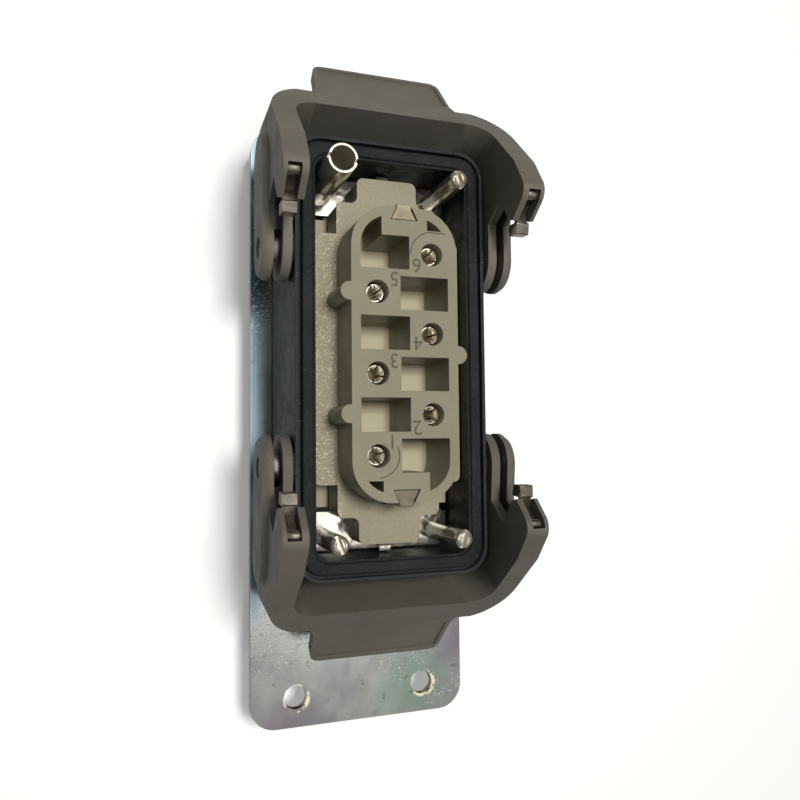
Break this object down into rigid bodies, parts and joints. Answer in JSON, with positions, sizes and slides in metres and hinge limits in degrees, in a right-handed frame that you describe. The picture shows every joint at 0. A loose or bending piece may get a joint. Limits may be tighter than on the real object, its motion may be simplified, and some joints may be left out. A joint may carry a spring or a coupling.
{
  "type": "heavy duty rectangular connector",
  "caption": "Rectangular bulkhead connector: female insert with guide pins in a low housing with two end locking levers, screwed to a long steel adapter plate.",
  "frame": {"origin": "centre of the connector on the back face of the adapter plate, in the plate's cut-out", "axes": "+Z out of the mating face; +Y along the connector, away from the plate's two free holes; +X across it; the free holes are at negative Y"},
  "size_m": [0.0566, 0.1534, 0.0606],
  "materials": {
    "zinc_plate": "zinc-plated, blue to violet chromate sheen, scratched",
    "gasket_rubber": "matt black",
    "housing_coating": "black textured powder coat, semi-gloss",
    "seal_rubber": "black, slightly shiny",
    "screw_steel": "zinc-plated",
    "carrier_plastic": "pebble grey moulded plastic, satin",
    "contact_metal": "silver-plated copper alloy",
    "nickel_plate": "nickel-plated, bright",
    "guide_steel": "nickel-plated, turned",
    "hinge_steel": "plain turned steel",
    "spring_steel": "stainless strip",
    "lever_plastic": "grey-brown glass-filled plastic, satin"
  },
  "bodies": {
    "connector": {"mounting_plate": "zinc_plate", "flange_gasket": "gasket_rubber", "housing": "housing_coating", "rim_seal": "seal_rubber", "flange_screws": "screw_steel", "carrier_base": "carrier_plastic", "carrier_block": "carrier_plastic", "terminal_body": "carrier_plastic", "terminal_screws": "screw_steel", "guide_bush": "guide_steel", "female_contact_1": "contact_metal", "female_contact_2": "contact_metal", "female_contact_3": "contact_metal", "female_contact_4": "contact_metal", "female_contact_5": "contact_metal", "female_contact_6": "contact_metal", "earth_plate_upper": "nickel_plate", "earth_leaf_upper": "nickel_plate", "earth_screw_upper": "screw_steel", "earth_washer_upper": "screw_steel", "pivot_pin_upper_left": "hinge_steel", "pivot_washer_upper_left": "hinge_steel", "guide_pin_upper_right": "guide_steel", "pivot_pin_upper_right": "hinge_steel", "pivot_washer_upper_right": "hinge_steel", "earth_plate_lower": "nickel_plate", "earth_leaf_lower": "nickel_plate", "earth_screw_lower": "screw_steel", "earth_washer_lower": "screw_steel", "guide_pin_lower_left": "guide_steel", "pivot_pin_lower_left": "hinge_steel", "pivot_washer_lower_left": "hinge_steel", "guide_pin_lower_right": "guide_steel", "pivot_pin_lower_right": "hinge_steel", "pivot_washer_lower_right": "hinge_steel"},
    "upper_locking_lever": {"upper_lever": "lever_plastic", "lock_spring_upper_left": "spring_steel", "lock_spring_upper_right": "spring_steel"},
    "lower_locking_lever": {"lower_lever": "lever_plastic", "lock_spring_lower_left": "spring_steel", "lock_spring_lower_right": "spring_steel"}
  },
  "joints": [
    {"name": "upper_lever_hinge", "type": "hinge", "parent": "connector", "child": "upper_locking_lever", "pos_m": [0, 0.0232, 0.025], "axis": [1, 0, 0], "range_deg": [-6, 39]},
    {"name": "lower_lever_hinge", "type": "hinge", "parent": "connector", "child": "lower_locking_lever", "pos_m": [0, -0.0232, 0.025], "axis": [-1, 0, 0], "range_deg": [0, 45]}
  ]
}
